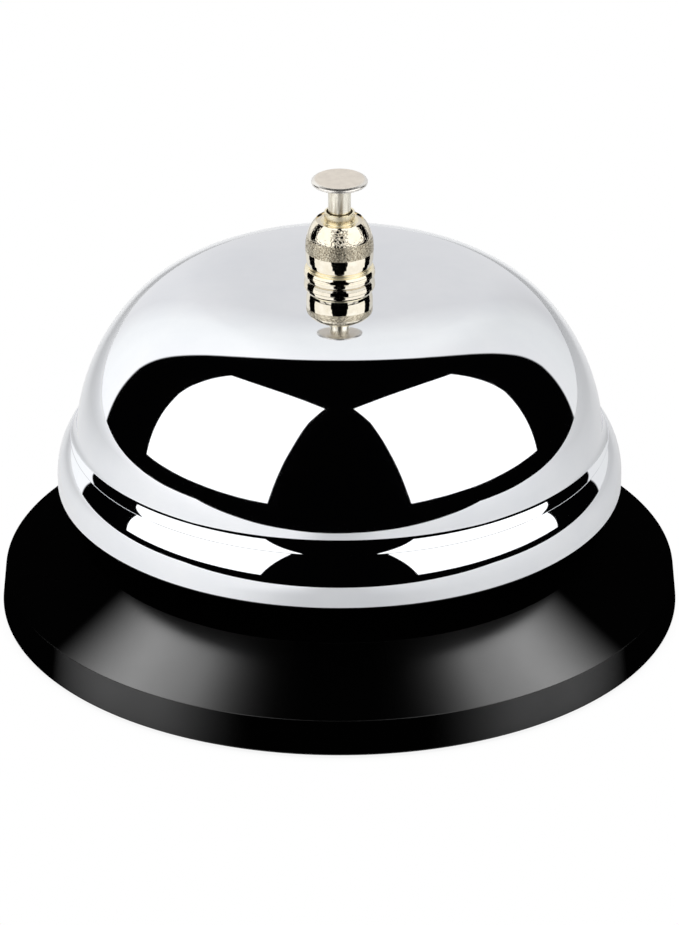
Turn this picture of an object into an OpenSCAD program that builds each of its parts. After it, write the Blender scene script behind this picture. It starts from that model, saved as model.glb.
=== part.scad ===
// Service bell. Pressing the button pushes a sprung rod down through a hollow spindle.
// A grooved spool on the rod turns a hinged lever, and its hammer strikes the inside of the dome.
// The bell's axis is Z, the lever swings in the XZ plane and its hammer hangs towards +X.
// Heights are measured from the lower edge of the base rim; the feet stand proud of that edge.

/* [Base] */
// Radius of the base at its lower edge
base_r = 42.5; // [41.5:0.1:44]
// Radius of the base at the top of its upright band
band_r = 42.05; // [41.3:0.05:42.1]
// Height of the upright band
band_h = 4.55; // [4:0.05:5]
// Radius of the flat deck inside the cone
deck_r = 32.65; // [32:0.05:34]
// Height of the deck
deck_z = 10.2; // [9.6:0.1:10.4]
// Thickness of the pressed base
base_t = 1.0; // [0.8:0.1:1.1]
// How far the feet stand proud of the rim
foot_proud = 0.4; // [0.2:0.1:1]

/* [Dome] */
// Height of the crown
dome_top = 44.03; // [43.95:0.01:44.3]
// Radius of curvature of the nearly flat crown
crown_R = 400; // [380:5:440]
// Radius of curvature round the crown
haunch_R = 39.83; // [39.5:0.01:40]
// Radius of curvature of the shoulder
shoulder_R = 17.2; // [17.1:0.05:17.4]
// Radius of curvature of the wall
wall_R = 24.05; // [24:0.05:24.2]
// Thickness of the dome
dome_t = 1.0; // [0.9:0.05:1]
// Radius of the hollow flare above the crease
flare_R = 3.1; // [2.9:0.05:3.3]
// Width of the small ledge at the crease
ledge = 0.08; // [0.05:0.01:0.15]
// Radius of curvature of the rolled lip
roll_R = 8.2; // [8:0.05:8.4]
// Height of the lip's lower edge
lip_z = 16.15; // [16:0.05:16.3]

/* [Button and rod] */
// Radius of the plunger rod
rod_r = 1.40; // [1.38:0.01:1.42]
// Height of the button's top face at its centre
button_top = 57.35; // [57.2:0.05:58]
// Radius of the button
button_r = 3.47; // [3.2:0.01:3.8]
// Thickness of the button
button_t = 0.8; // [0.7:0.05:1]
// Travel of the button
stroke = 3.4; // [3:0.1:3.4]

/* [Striker] */
// Distance of the pivot from the bell's axis
pivot_x = 6; // [5.8:0.1:6.2]
// Height of the pivot
pivot_z = 33; // [32.9:0.05:33.1]
// Length of the lever's tail
tail_len = 6; // [5.8:0.1:6.2]
// Distance from the pivot to the centre of the hammer
hammer_arm = 21; // [20.5:0.1:21]
// Radius of the hammer ball
hammer_r = 3.4; // [3:0.1:3.4]
// Angle of the hammer arm below the horizontal at rest
rest_angle = 42.9; // [42.8:0.1:45]

/* [Return spring] */
// Mean radius of the coil
spring_r = 2.3; // [2.25:0.05:2.35]
// Diameter of the wire
wire_d = 0.5; // [0.4:0.05:0.5]
// Number of open coils between the closed end coils
open_coils = 8; // [6:1:9]

/* [Hidden] */
$fn = 96;

// Base, bottom plate and feet
rim_in_r = base_r - 1.3;
boss_r = 1.75;
boss_h = 1.5;
boss_hollow_r = 0.8;
plate_z = 0.5;
plate_t = 0.8;
foot_r = 4;
foot_ring = 34;
stem_r = 1.5;

// Bridge: an inverted U of sheet steel
leg_in = 3.4;
leg_t = 1.2;
leg_out = leg_in + leg_t;
leg_half = 5;
top_z = 37.0;
top_t = 1.4;
lug_r = 2.8;
rivet_y = 9.5;
rivet_r = 1.5;

// Spool: a groove for the lever's nose, held by a clip in a groove of the rod
nose_r = 0.9;
gap_half = 0.975;
nose_z = pivot_z + stroke / 2;
flange_r = 2.8;
core_r = 1.9;
flange_t = 0.85;
spool_bottom = nose_z - gap_half - flange_t;
clip_t = 0.5;
clip_z = nose_z + gap_half + flange_t - 0.025;
rod_groove_r = 1.0;

// Spigot on top of the rod, sunk in the button
button_seat = button_top - button_t;
spigot_r = 1.15;
spigot_h = 0.4;

// Dome seat and the stack above the bridge
seat_r = 5.0;
seat_z = dome_top - crown_R * (1 - cos(asin(seat_r / crown_R)));
dome_hole_r = 2.7;
thread_r = 2.5;
thread_top = 50.0;
tenon_r = 2.6;
spindle_r = 4.2;
spindle_bore_r = rod_r + 0.08;
washer_bore_r = 2.6;
steel_t = 0.5;
fibre_t = 0.5;
fibre_z = seat_z - dome_t - fibre_t;
shoulder_z = fibre_z - steel_t;
nut_z = seat_z + 0.83;
collar_r = 4.43;
collar_end_r = collar_r - 0.04;
nut_h = 8.12;
barrel_r = 4.228;
neck_r = 1.88;

// Lever, measured from the pivot
cheek_in = 2.05;
cheek_t = 1.0;
cheek_out = cheek_in + cheek_t;
tail_angle = 180 - asin(stroke / 2 / tail_len);
tail_half = 0.42;
hub_r = 2.2;
cheek_len = 9;
cheek_end_r = 1.5;
web_half = cheek_out - 0.2;

// Tongue with a narrow end, both let into the hammer
tongue_t = 1.2;
tongue_half = 1.4;
tongue_sink = 0.6;
tongue_end_half = 1.0;
tongue_end_gap = 0.6; // short of the ball's centre

// Pivot pin and its clip groove, along the pin's own axis
pin_r = 1.0;
pin_groove_r = 0.7;
pin_groove_z = -leg_out - 0.6;

// Dome: surface angles are those of the normal from the vertical
throat = 83.8;
flare_end = 48;
roll_start = 53;
lip_steps = 8;
// [from angle, to angle, radius]
dome_arcs = [[0, 1.5, crown_R], [1.5, 12, haunch_R], [12, 50, shoulder_R], [50, throat, wall_R]];
dome_angles = [for (a = [7.5:1.5:12]) a, for (a = [14:2:50]) a, for (a = [52.5:2.5:82.5]) a, throat];

// ---- Outline helpers ----

function unit(vector) = vector / norm(vector);
function total(list) = list * [for (x = list) 1];
function reversed(list) = [for (i = [len(list) - 1:-1:0]) list[i]];

// An arc that rounds the corner at a point between the points before and after it
function corner(before, at, after, radius, steps = 6) =
    let (back = unit(before - at), ahead = unit(after - at),
         half = acos(back * ahead) / 2, cut = radius / tan(half),
         centre = at + unit(back + ahead) * (radius / sin(half)),
         start = at + back * cut - centre,
         end = at + ahead * cut - centre,
         start_angle = atan2(start[1], start[0]),
         turn = atan2(end[1], end[0]) - start_angle,
         sweep = turn > 180 ? turn - 360 : turn < -180 ? turn + 360 : turn)
    [for (i = [0:steps]) let (angle = start_angle + sweep * i / steps)
        centre + radius * [cos(angle), sin(angle)]];

// A closed outline from corners given as [x, y, radius]
function rounded(corners, steps = 6) =
    let (count = len(corners), points = [for (entry = corners) [entry[0], entry[1]]])
    [for (i = [0:count - 1]) let (radius = corners[i][2])
        each (radius > 0
            ? corner(points[(i + count - 1) % count], points[i], points[(i + 1) % count],
                     radius, steps)
            : [points[i]])];

// ---- Shared modules ----

// Raises a piece so that the feet stand on z = 0
module lift() { translate([0, 0, foot_proud]) children(); }

module turned(outline, sides = 128) { rotate_extrude($fn = sides) polygon(outline); }

// A sheet with its outline in the XZ plane, thickened from start_y towards +Y
module sheet(start_y, thickness) {
    translate([0, start_y + thickness, 0]) rotate([90, 0, 0]) linear_extrude(thickness) children();
}

// A cutter through a flat sheet whose underside is at z
module drill(radius, z, thickness) {
    translate([0, 0, z - 1]) cylinder(r = radius, h = thickness + 2);
}

module at_feet() {
    for (a = [90, 210, 330]) rotate(a) translate([foot_ring, 0, 0]) children();
}

module at_rivets() {
    for (side = [-1, 1]) translate([0, side * rivet_y, 0]) children();
}

// Turns the Z axis onto the pivot's axis, pointing to -Y
module on_pivot() { translate([pivot_x, 0, pivot_z]) rotate([90, 0, 0]) children(); }

// Puts the X axis along the hammer arm, from the pivot
module on_arm() { translate([pivot_x, 0, pivot_z]) rotate([0, rest_angle, 0]) children(); }

module pivot_bore(radius) { on_pivot() translate([0, 0, -10]) cylinder(r = radius, h = 20); }

// An E shaped retaining ring from z upwards, open to -X
module clip_ring(inner, outer, z) {
    translate([0, 0, z]) difference() {
        cylinder(r = outer, h = clip_t);
        drill(inner, 0, clip_t);
        translate([-outer - 1, -inner * 0.85, -1]) cube([outer + 1, inner * 1.7, clip_t + 2]);
        for (a = [60, -60]) rotate(a)
            translate([inner - 0.4, -0.3, -1]) cube([0.8, 0.6, clip_t + 2]);
    }
}

// ---- Base ----

module base_shell() color([0.02, 0.02, 0.022]) lift() {
    cone_run = band_r - deck_r;
    cone_rise = deck_z - band_h;
    // The cone's thickness measured vertically
    cone_t = norm([cone_run, cone_rise]) / cone_run * base_t;
    under_z = deck_z - base_t;
    under_r = deck_r - (cone_t - base_t) * cone_run / cone_rise;
    cone_foot_z = deck_z - cone_t - (rim_in_r - deck_r) * cone_rise / cone_run;
    difference() {
        turned(rounded([
            [0, deck_z + boss_h, 0], [boss_r, deck_z + boss_h, 0.3], [boss_r, deck_z, 0],
            [deck_r, deck_z, 0.6], [band_r, band_h, 0.8], [base_r, 0, 0.25],
            [rim_in_r, 0, 0.2], [rim_in_r, cone_foot_z, 0.5], [under_r, under_z, 0.5],
            [boss_hollow_r, under_z, 0], [boss_hollow_r, under_z + boss_h, 0],
            [0, under_z + boss_h, 0]]));
        at_rivets() drill(rivet_r, under_z, base_t);
    }
}

module bottom_plate() color([0.05, 0.05, 0.055]) lift() {
    difference() {
        translate([0, 0, plate_z]) cylinder(r = rim_in_r, h = plate_t, $fn = 128);
        at_feet() drill(stem_r, plate_z, plate_t);
    }
}

// Each foot has a stem through the plate and a tapered bead above it
module rubber_feet() color([0.03, 0.03, 0.03]) lift() {
    plate_top = plate_z + plate_t;
    bead_top = plate_top + 1.4;
    at_feet() turned(rounded([
        [0, -foot_proud, 0], [foot_r - 0.3, -foot_proud, 0.2], [foot_r, plate_z, 0],
        [stem_r, plate_z, 0], [stem_r, plate_top, 0], [stem_r + 0.6, plate_top, 0],
        [stem_r - 0.3, bead_top, 0.2], [0, bead_top, 0]]), 64);
}

// ---- Bridge and spindle ----

// A leg with a round lug at the pivot and a gusset that joins the two
module bridge_leg_outline() {
    bridge_top = top_z + top_t;
    translate([-leg_half, deck_z]) square([2 * leg_half, bridge_top - deck_z]);
    translate([pivot_x, pivot_z]) circle(r = lug_r);
    polygon([[leg_half - 1, pivot_z - 6.5], [leg_half, pivot_z - 6.5],
             from_pivot(lug_r, -25), from_pivot(lug_r, 50),
             [leg_half, bridge_top], [leg_half - 1, bridge_top]]);
}

module bridge() color([0.68, 0.69, 0.7]) lift() {
    difference() {
        union() {
            for (start_y = [-leg_out, leg_in]) sheet(start_y, leg_t) bridge_leg_outline();
            translate([-leg_half, -leg_out, top_z]) cube([2 * leg_half, 2 * leg_out, top_t]);
            // Flanges on the deck, with round ends about the rivets
            for (start_y = [-rivet_y, leg_in]) translate([-leg_half, start_y, deck_z])
                cube([2 * leg_half, rivet_y - leg_in, leg_t]);
            at_rivets() translate([0, 0, deck_z]) cylinder(r = leg_half, h = leg_t);
        }
        at_rivets() drill(rivet_r, deck_z, leg_t);
        drill(tenon_r, top_z, top_t);
        pivot_bore(pin_r);
    }
}

module bridge_rivets() color([0.6, 0.6, 0.62]) lift() {
    under_z = deck_z - base_t;
    head_z = deck_z + leg_t;
    head_r = 2.7;
    head_h = 1.3;
    at_rivets() turned(concat(
        [[0, under_z - 0.7], [2.2, under_z - 0.7], [2.4, under_z], [rivet_r, under_z],
         [rivet_r, head_z]],
        [for (a = [0:9:81]) [head_r * cos(a), head_z + head_h * sin(a)]],
        [[0, head_z + head_h]]), 48);
}

module spindle() color([0.72, 0.72, 0.73]) lift() {
    turned([[spindle_bore_r, top_z], [tenon_r, top_z], [tenon_r, top_z + top_t],
            [spindle_r, top_z + top_t], [spindle_r, shoulder_z - 0.2],
            [spindle_r - 0.2, shoulder_z], [thread_r, shoulder_z],
            [thread_r, thread_top - 0.3], [thread_r - 0.3, thread_top],
            [rod_r + 0.3, thread_top], [spindle_bore_r, thread_top - 0.2]]);
}

module steel_washer() color([0.74, 0.74, 0.75]) lift() {
    outer = 4.8;
    turned(rounded([[washer_bore_r, shoulder_z, 0], [outer, shoulder_z, 0.1],
                    [outer, fibre_z, 0.1], [washer_bore_r, fibre_z, 0]]));
}

module fibre_washer() color([0.5, 0.16, 0.1]) lift() {
    outer = 4.6;
    turned([[washer_bore_r, fibre_z], [outer, fibre_z],
            [outer, fibre_z + fibre_t], [washer_bore_r, fibre_z + fibre_t]]);
}

// ---- Dome ----

function within(angle, arc) = min(max(angle, arc[0]), arc[1]);

// Points [radius, height] at a depth below the outer surface:
// on the arcs from crown to throat, on the hollow flare, and on the rolled lip
function dome_point(angle, depth) = [
    total([for (arc = dome_arcs) (arc[2] - depth) * (sin(within(angle, arc)) - sin(arc[0]))]),
    dome_top - depth
        - total([for (arc = dome_arcs) (arc[2] - depth) * (cos(arc[0]) - cos(within(angle, arc)))])];
function flare_point(angle, depth) = dome_point(throat, depth)
    + (flare_R + depth) * [sin(throat) - sin(angle), cos(throat) - cos(angle)];
crease = flare_point(flare_end, 0) + [ledge, 0];
function roll_point(angle, depth) = crease
    + roll_R * [sin(angle) - sin(roll_start), cos(angle) - cos(roll_start)]
    - depth * [sin(angle), cos(angle)];

// The whole outline at one depth, from the central hole to the end of the roll
function dome_skin(depth) = [
    [dome_hole_r, seat_z - depth],
    [seat_r, seat_z - depth],
    for (a = dome_angles) dome_point(a, depth),
    for (i = [1:lip_steps]) flare_point(throat + (flare_end - throat) * i / lip_steps, depth),
    for (i = [0:lip_steps]) roll_point(roll_start + (90 - roll_start) * i / lip_steps, depth)];

module bell_dome() color([0.86, 0.87, 0.89]) lift() {
    roll_end = roll_point(90, 0);
    roll_end_in = roll_end - [dome_t, 0];
    lip_outer = [roll_end[0], lip_z];
    lip_inner = lip_outer - [dome_t, 0];
    turned(concat(
        dome_skin(0),
        corner(roll_end, lip_outer, lip_inner, 0.35),
        corner(lip_outer, lip_inner, roll_end_in, 0.3),
        reversed(dome_skin(dome_t))));
}

// The lower half of the collar under the barrel
module top_washer() color([0.8, 0.77, 0.68]) lift() {
    turned(rounded([
        [washer_bore_r, seat_z, 0], [collar_r - 0.25, seat_z, 0.08],
        [collar_r - 0.08, seat_z + 0.3, 0.4], [collar_r, nut_z - 0.06, 0.04],
        [collar_end_r, nut_z, 0], [washer_bore_r, nut_z, 0]]));
}

// Collar, barrel swelling to barrel_r, smooth shoulder, and a neck that clears the rod
module cap_nut() color([0.82, 0.79, 0.7]) lift() {
    thread_bore_r = thread_r + 0.02;
    neck_bore_r = rod_r + 0.22;
    groove_r = barrel_r - 0.3;
    widest_z = 2.46;
    translate([0, 0, nut_z]) turned(concat(
        rounded([
            [thread_bore_r, 0, 0], [collar_end_r, 0, 0], [collar_r, 0.06, 0.04],
            [collar_r - 0.05, 0.4, 0.3], [collar_r - 0.22, 0.68, 0.08],
            [groove_r, 0.75, 0.06], [groove_r, 0.95, 0],
            [barrel_r - 0.16, 1.3, 0.8], [barrel_r - 0.04, 1.85, 0]], 3),
        // Superellipse from the widest point, aimed at the height of the neck's top
        [for (a = [0:6:42]) [barrel_r * pow(cos(a), 0.906),
                             widest_z + (nut_h - widest_z) * pow(sin(a), 0.7254)]],
        rounded([
            [3.0, 6.83, 0], [2.55, 6.9, 0.4], [neck_r, 6.8, 0.15], [neck_r, nut_h, 0.18],
            [neck_bore_r, nut_h, 0.08], [neck_bore_r, 6.05, 0], [thread_bore_r, 5.3, 0]], 3)), 96);
}

// ---- Plunger ----

module plunger_rod() color([0.78, 0.77, 0.72]) lift() {
    bottom = 16.0;
    chamfer = 0.3;
    turned([[0, bottom], [rod_r - chamfer, bottom], [rod_r, bottom + chamfer],
            [rod_r, clip_z], [rod_groove_r, clip_z],
            [rod_groove_r, clip_z + clip_t], [rod_r, clip_z + clip_t],
            [rod_r, button_seat], [spigot_r, button_seat],
            [spigot_r, button_seat + spigot_h], [0, button_seat + spigot_h]]);
}

module plunger_button() color([0.8, 0.74, 0.68]) lift() {
    turned(rounded([
        [0, button_top, 0], [button_r - 0.4, button_top - 0.05, 0.4],
        [button_r, button_top - 0.28, 0.22], [button_r, button_seat + 0.25, 0.12],
        [button_r - 0.3, button_seat + 0.08, 0.25], [1.9, button_seat, 0.4],
        [spigot_r, button_seat, 0], [spigot_r, button_seat + spigot_h, 0],
        [0, button_seat + spigot_h, 0]]));
}

module spool() color([0.78, 0.62, 0.3]) lift() {
    turned([[rod_r, spool_bottom], [flange_r, spool_bottom], [flange_r, nose_z - gap_half],
            [core_r, nose_z - gap_half], [core_r, nose_z + gap_half],
            [flange_r, nose_z + gap_half], [flange_r, clip_z], [rod_r, clip_z]]);
}

module spool_clip() color([0.45, 0.45, 0.47]) lift() clip_ring(rod_groove_r, 2.4, clip_z);

// Height of the wire's centre after some turns, between the lowest and highest centres:
// the closed end coils rise by closed_pitch, and the open coils share the rest
closed_pitch = wire_d * 1.04;
function coil_z(turn, low, high) =
    turn <= 1 ? low + closed_pitch * turn
    : turn >= open_coils + 1 ? high - closed_pitch * (open_coils + 2 - turn)
    : low + closed_pitch + (turn - 1) * (high - low - 2 * closed_pitch) / open_coils;

// The spring stands on the deck, under the spool
module return_spring() color([0.7, 0.7, 0.72]) lift() {
    sides = 10;
    steps_per_turn = 28;
    wire_r = wire_d / 2;
    end_gap = 0.01;
    low = deck_z + wire_r + end_gap;
    high = spool_bottom - wire_r - end_gap;
    steps = (open_coils + 2) * steps_per_turn;
    points = [for (i = [0:steps]) for (j = [0:sides - 1])
        let (turn = i / steps_per_turn, a = turn * 360, b = j / sides * 360,
             radius = spring_r + wire_r * cos(b))
        [radius * cos(a), radius * sin(a), coil_z(turn, low, high) + wire_r * sin(b)]];
    // Two triangles for each patch between neighbouring rings of points
    walls = [for (i = [0:steps - 1]) for (j = [0:sides - 1])
        let (k = (j + 1) % sides, ring = i * sides, next = ring + sides)
        each [[ring + j, next + j, ring + k], [ring + k, next + j, next + k]]];
    start_cap = [for (j = [0:sides - 1]) j];
    end_cap = [for (j = [sides - 1:-1:0]) steps * sides + j];
    polyhedron(points, concat(walls, [start_cap, end_cap]));
}

// ---- Striker ----

// A point in the XZ plane at a distance and an angle from the pivot
function from_pivot(distance, angle) =
    [pivot_x + distance * cos(angle), pivot_z + distance * sin(angle)];

// A tapered bar along a ray from the pivot, with its half width at each end
function bar(near, near_half, far, far_half, angle) =
    let (across = [-sin(angle), cos(angle)],
         start = from_pivot(near, angle), end = from_pivot(far, angle))
    [start + across * near_half, end + across * far_half,
     end - across * far_half, start - across * near_half];

module cheek_outline() {
    translate([pivot_x, pivot_z]) circle(r = hub_r);
    translate(from_pivot(tail_len, tail_angle)) circle(r = nose_r, $fn = 48);
    polygon(bar(3.9, tail_half, tail_len, tail_half, tail_angle));
    polygon(bar(1.6, 1.4, 4.1, tail_half, tail_angle));
    polygon(bar(0, hub_r, cheek_len, cheek_end_r, -rest_angle));
    translate(from_pivot(cheek_len, -rest_angle)) circle(r = cheek_end_r);
}

// Web between the cheeks, and the tongue that carries the hammer
module web_and_tongue() {
    tongue_shoulder = hammer_arm - hammer_r + tongue_sink;
    // The tongue's +Y edge as [distance from the pivot, y]
    edge = [[9.4, web_half], [12.2, tongue_half], [tongue_shoulder, tongue_half],
            [tongue_shoulder, tongue_end_half], [hammer_arm - tongue_end_gap, tongue_end_half]];
    translate([3.6, -web_half, -tongue_t / 2]) cube([6.2, 2 * web_half, tongue_t]);
    translate([0, 0, -tongue_t / 2]) linear_extrude(tongue_t)
        polygon(concat(edge, reversed([for (point = edge) [point[0], -point[1]]])));
}

module striker_lever() color([0.62, 0.62, 0.64]) lift() {
    difference() {
        union() {
            for (start_y = [-cheek_out, cheek_in]) sheet(start_y, cheek_t) cheek_outline();
            on_arm() web_and_tongue();
        }
        pivot_bore(pin_r + 0.05);
    }
}

module hammer() color([0.8, 0.64, 0.34]) lift() {
    on_arm() translate([hammer_arm, 0, 0]) difference() {
        sphere(r = hammer_r);
        translate([-tongue_sink - hammer_r, -tongue_half, -tongue_t / 2])
            cube([2 * tongue_sink, 2 * tongue_half, tongue_t]);
        translate([-hammer_r, -tongue_end_half, -tongue_t / 2])
            cube([hammer_r - tongue_end_gap, 2 * tongue_end_half, tongue_t]);
    }
}

// The head is at the -Y end and the clip groove at the +Y end
module pivot_pin() color([0.75, 0.75, 0.76]) lift() {
    tip = -leg_out - 1.5;
    groove_end = pin_groove_z + clip_t;
    head_r = 1.8;
    head_top = leg_out + 0.9;
    on_pivot() turned([
        [0, tip], [pin_r - 0.2, tip], [pin_r, tip + 0.2], [pin_r, pin_groove_z],
        [pin_groove_r, pin_groove_z], [pin_groove_r, groove_end], [pin_r, groove_end],
        [pin_r, leg_out], [head_r, leg_out], [head_r, head_top - 0.3],
        [head_r - 0.3, head_top], [0, head_top]]);
}

module pivot_clip() color([0.45, 0.45, 0.47]) lift()
    on_pivot() clip_ring(pin_groove_r, 1.9, pin_groove_z);

base_shell();
bottom_plate();
rubber_feet();
bridge();
bridge_rivets();
spindle();
steel_washer();
fibre_washer();
bell_dome();
top_washer();
cap_nut();
plunger_rod();
plunger_button();
spool();
spool_clip();
return_spring();
striker_lever();
hammer();
pivot_pin();
pivot_clip();
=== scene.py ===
"""A desk bell on a pale desk, in metres with +Z up.

A chromed dome stands on a black enamelled base. A nut closes the top of the dome, and a plunger
with a round button comes up through it. The axis of the bell is Z and the front faces -Y.
"""
import math

import bmesh
import bpy
from mathutils import Matrix, Vector, noise

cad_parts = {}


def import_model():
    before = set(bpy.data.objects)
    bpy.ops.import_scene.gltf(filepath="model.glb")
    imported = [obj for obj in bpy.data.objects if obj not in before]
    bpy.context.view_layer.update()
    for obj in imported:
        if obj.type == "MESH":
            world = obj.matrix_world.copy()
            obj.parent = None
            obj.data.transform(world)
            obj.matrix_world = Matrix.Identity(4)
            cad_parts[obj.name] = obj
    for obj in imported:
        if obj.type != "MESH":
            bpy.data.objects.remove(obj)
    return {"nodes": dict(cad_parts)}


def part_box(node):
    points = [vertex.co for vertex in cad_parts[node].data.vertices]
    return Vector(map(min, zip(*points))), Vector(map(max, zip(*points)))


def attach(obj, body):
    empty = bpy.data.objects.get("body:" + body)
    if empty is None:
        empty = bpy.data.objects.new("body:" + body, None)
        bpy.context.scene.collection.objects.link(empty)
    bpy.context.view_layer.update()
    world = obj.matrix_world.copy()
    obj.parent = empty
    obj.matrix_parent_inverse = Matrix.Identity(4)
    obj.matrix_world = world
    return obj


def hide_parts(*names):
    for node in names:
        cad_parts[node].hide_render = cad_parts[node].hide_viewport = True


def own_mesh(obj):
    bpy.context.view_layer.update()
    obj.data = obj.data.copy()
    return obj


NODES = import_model()["nodes"]
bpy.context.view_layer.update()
MM = 0.001
RIM_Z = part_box("base_shell")[0].z  # lower edge of the base's rim, in metres

# ------------------------------------------------------------------ dimensions
# Millimetres and degrees; heights (_Z) are measured up from the rim's lower edge.
# Base: a rim band, a sloping shoulder and a flat deck with a small boss in the middle
BASE_R, BASE_T, RIM_T = 42.5, 1.0, 1.3
BAND_R, BAND_Z = 42.05, 4.55
DECK_R, DECK_Z = 32.65, 10.2
BOSS_R, BOSS_H, BOSS_BORE_R = 1.75, 1.5, 0.8
DECK_HOLE_R, DECK_HOLE_Y = 1.5, 9.5
RIM_INNER_R = BASE_R - RIM_T
PLATE_LO, PLATE_HI = 0.5, 1.3
FOOT_CIRCLE_R, FOOT_HOLE_R, FOOT_ANGLES = 34, 1.5, (90, 210, 330)

# Dome: arcs from the top down to the throat, then a hollow flare, a crease and a rolled lip
DOME_TOP, DOME_T, DOME_SEGMENTS = 44.03, 1.0, 288
THROAT, FLARE_END, ROLL_START = 83.8, 48.0, 53.0  # slopes of the wall, from the horizontal
FLARE_R, LEDGE, ROLL_R, LIP_Z = 3.1, 0.08, 8.2, 16.15
ARCS = ((0, 1.5, 400.0), (1.5, 12, 39.83), (12, 50, 17.2), (50, THROAT, 24.05))  # from, to, radius
HOLE_R, SEAT_R = 2.7, 5.0
SEAT_Z = DOME_TOP - ARCS[0][2] * (1 - math.cos(math.asin(SEAT_R / ARCS[0][2])))

# Cap nut, washers and spindle
NUT_Z = SEAT_Z + 0.83
RING_R, BARREL_R, NECK_R = 4.43, 4.228, 1.88
BARREL_Z, BARREL_H, NECK_TOP = NUT_Z + 2.46, 5.66, NUT_Z + 8.12
MATT_LO, MATT_HI, CRAZE_TOP = 47.88, 49.75, 51.5
NUT_BORE_R, WASHER_BORE_R, WASHER_T = 2.52, 2.6, 0.5
SHOULDER_Z = SEAT_Z - DOME_T - 2 * WASHER_T
SPINDLE_Z, SPINDLE_R, THREAD_R = 37.0, 4.2, 2.5

# Plunger
ROD_R, ROD_Z, CLIP_GROOVE_R = 1.40, 16.0, 1.0
BUTTON_TOP, BUTTON_R, BUTTON_T = 57.35, 3.47, 0.8
BUTTON_Z = BUTTON_TOP - BUTTON_T
STUD_R, STUD_TOP = 1.15, BUTTON_Z + 0.4
GROOVE_MID, GROOVE_HALF, GROOVE_R = 34.7, 0.975, 1.9
SPOOL_R, FLANGE_T = 2.8, 0.85
SPOOL_Z = GROOVE_MID - GROOVE_HALF - FLANGE_T
CLIP_Z = GROOVE_MID + GROOVE_HALF + FLANGE_T - 0.025  # top of the spool

# Return spring
WIRE_R, COIL_R, OPEN_TURNS, END_RISE = 0.25, 2.3, 8, 0.52
COIL_STEPS, WIRE_SIDES, END_TAPER = 64, 16, 0.86


# ------------------------------------------------------------------ outlines
def corner(before, at, after, radius, steps=8):
    """An arc that rounds the corner `at`."""
    at = Vector(at)
    u, v = (Vector(before) - at).normalized(), (Vector(after) - at).normalized()
    half = math.acos(max(-1, min(1, u.dot(v)))) / 2
    centre = at + (u + v).normalized() * (radius / math.sin(half))
    start = at + u * (radius / math.tan(half)) - centre
    end = at + v * (radius / math.tan(half)) - centre
    first = math.atan2(start.y, start.x)
    sweep = math.atan2(end.y, end.x) - first
    if sweep > math.pi:
        sweep -= 2 * math.pi
    elif sweep < -math.pi:
        sweep += 2 * math.pi
    turns = [first + sweep * i / steps for i in range(steps + 1)]
    return [(centre.x + radius * math.cos(a), centre.y + radius * math.sin(a)) for a in turns]


def rounded(corners, steps=8):
    """A closed outline from corners (r, z, corner radius)."""
    out = []
    for i, at in enumerate(corners):
        after = corners[(i + 1) % len(corners)]
        if at[2] > 0:
            out += corner(corners[i - 1][:2], at[:2], after[:2], at[2], steps)
        else:
            out.append(tuple(at[:2]))
    return out


def dense(points, step, closed=True):
    """Splits long straight runs, with a point close to each end to keep the shading crisp."""
    close, shortest = 0.02, 0.25
    out = []
    for i, p in enumerate(points):
        out.append(p)
        if i == len(points) - 1 and not closed:
            break
        q = points[(i + 1) % len(points)]
        length = math.dist(p, q)
        count = int(length / step)
        on_axis = p[0] < 1e-6 and q[0] < 1e-6
        if count > 0 and not on_axis:
            near = [close / length, 1 - close / length] if length > shortest else []
            cuts = sorted(near + [j / (count + 1) for j in range(1, count + 1)])
            out += [(p[0] + (q[0] - p[0]) * c, p[1] + (q[1] - p[1]) * c) for c in cuts]
    return out


# ------------------------------------------------------------------ meshes
def smooth_shade(bm, sharp=32):
    """Smooth faces, with edges sharper than `sharp` degrees marked."""
    for face in bm.faces:
        face.smooth = True
    for edge in bm.edges:
        folded = len(edge.link_faces) == 2 and edge.calc_face_angle(0) > math.radians(sharp)
        edge.smooth = not folded


def new_object(bm, name):
    """Moves a bmesh into a new object in the scene."""
    mesh = bpy.data.meshes.new(name)
    bm.to_mesh(mesh)
    bm.free()
    piece = bpy.data.objects.new(name, mesh)
    bpy.context.scene.collection.objects.link(piece)
    return piece


def finish_mesh(bm, name, materials=(), sharp=32):
    bmesh.ops.remove_doubles(bm, verts=bm.verts, dist=1e-7)
    bmesh.ops.recalc_face_normals(bm, faces=bm.faces)
    smooth_shade(bm, sharp)
    piece = new_object(bm, name)
    for material in materials:
        piece.data.materials.append(material)
    return piece


def lathe(profile, segments, bend=None, material_of=None):
    """Turns a closed (r, z) outline about Z and stands it on the rim's height.

    bend(r, angle, z) may move a point; material_of(row) picks a row's material index.
    """
    bm = bmesh.new()
    rings = []
    for r, z in profile:
        if r < 1e-6:
            rings.append([bm.verts.new((0, 0, z * MM))])
            continue
        ring = []
        for k in range(segments):
            a = 2 * math.pi * k / segments
            rr, zz = bend(r, a, z) if bend else (r, z)
            ring.append(bm.verts.new((rr * math.cos(a) * MM, rr * math.sin(a) * MM, zz * MM)))
        rings.append(ring)
    for row, (p, q) in enumerate(zip(rings, rings[1:] + rings[:1])):
        if len(p) == 1 and len(q) == 1:
            continue
        index = material_of(row) if material_of else 0
        for k in range(segments):
            after = (k + 1) % segments
            if len(p) == 1:
                corners = (p[0], q[k], q[after])
            elif len(q) == 1:
                corners = (p[k], q[0], p[after])
            else:
                corners = (p[k], q[k], q[after], p[after])
            bm.faces.new(corners).material_index = index
    bmesh.ops.translate(bm, verts=bm.verts, vec=(0, 0, RIM_Z))
    return bm


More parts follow.
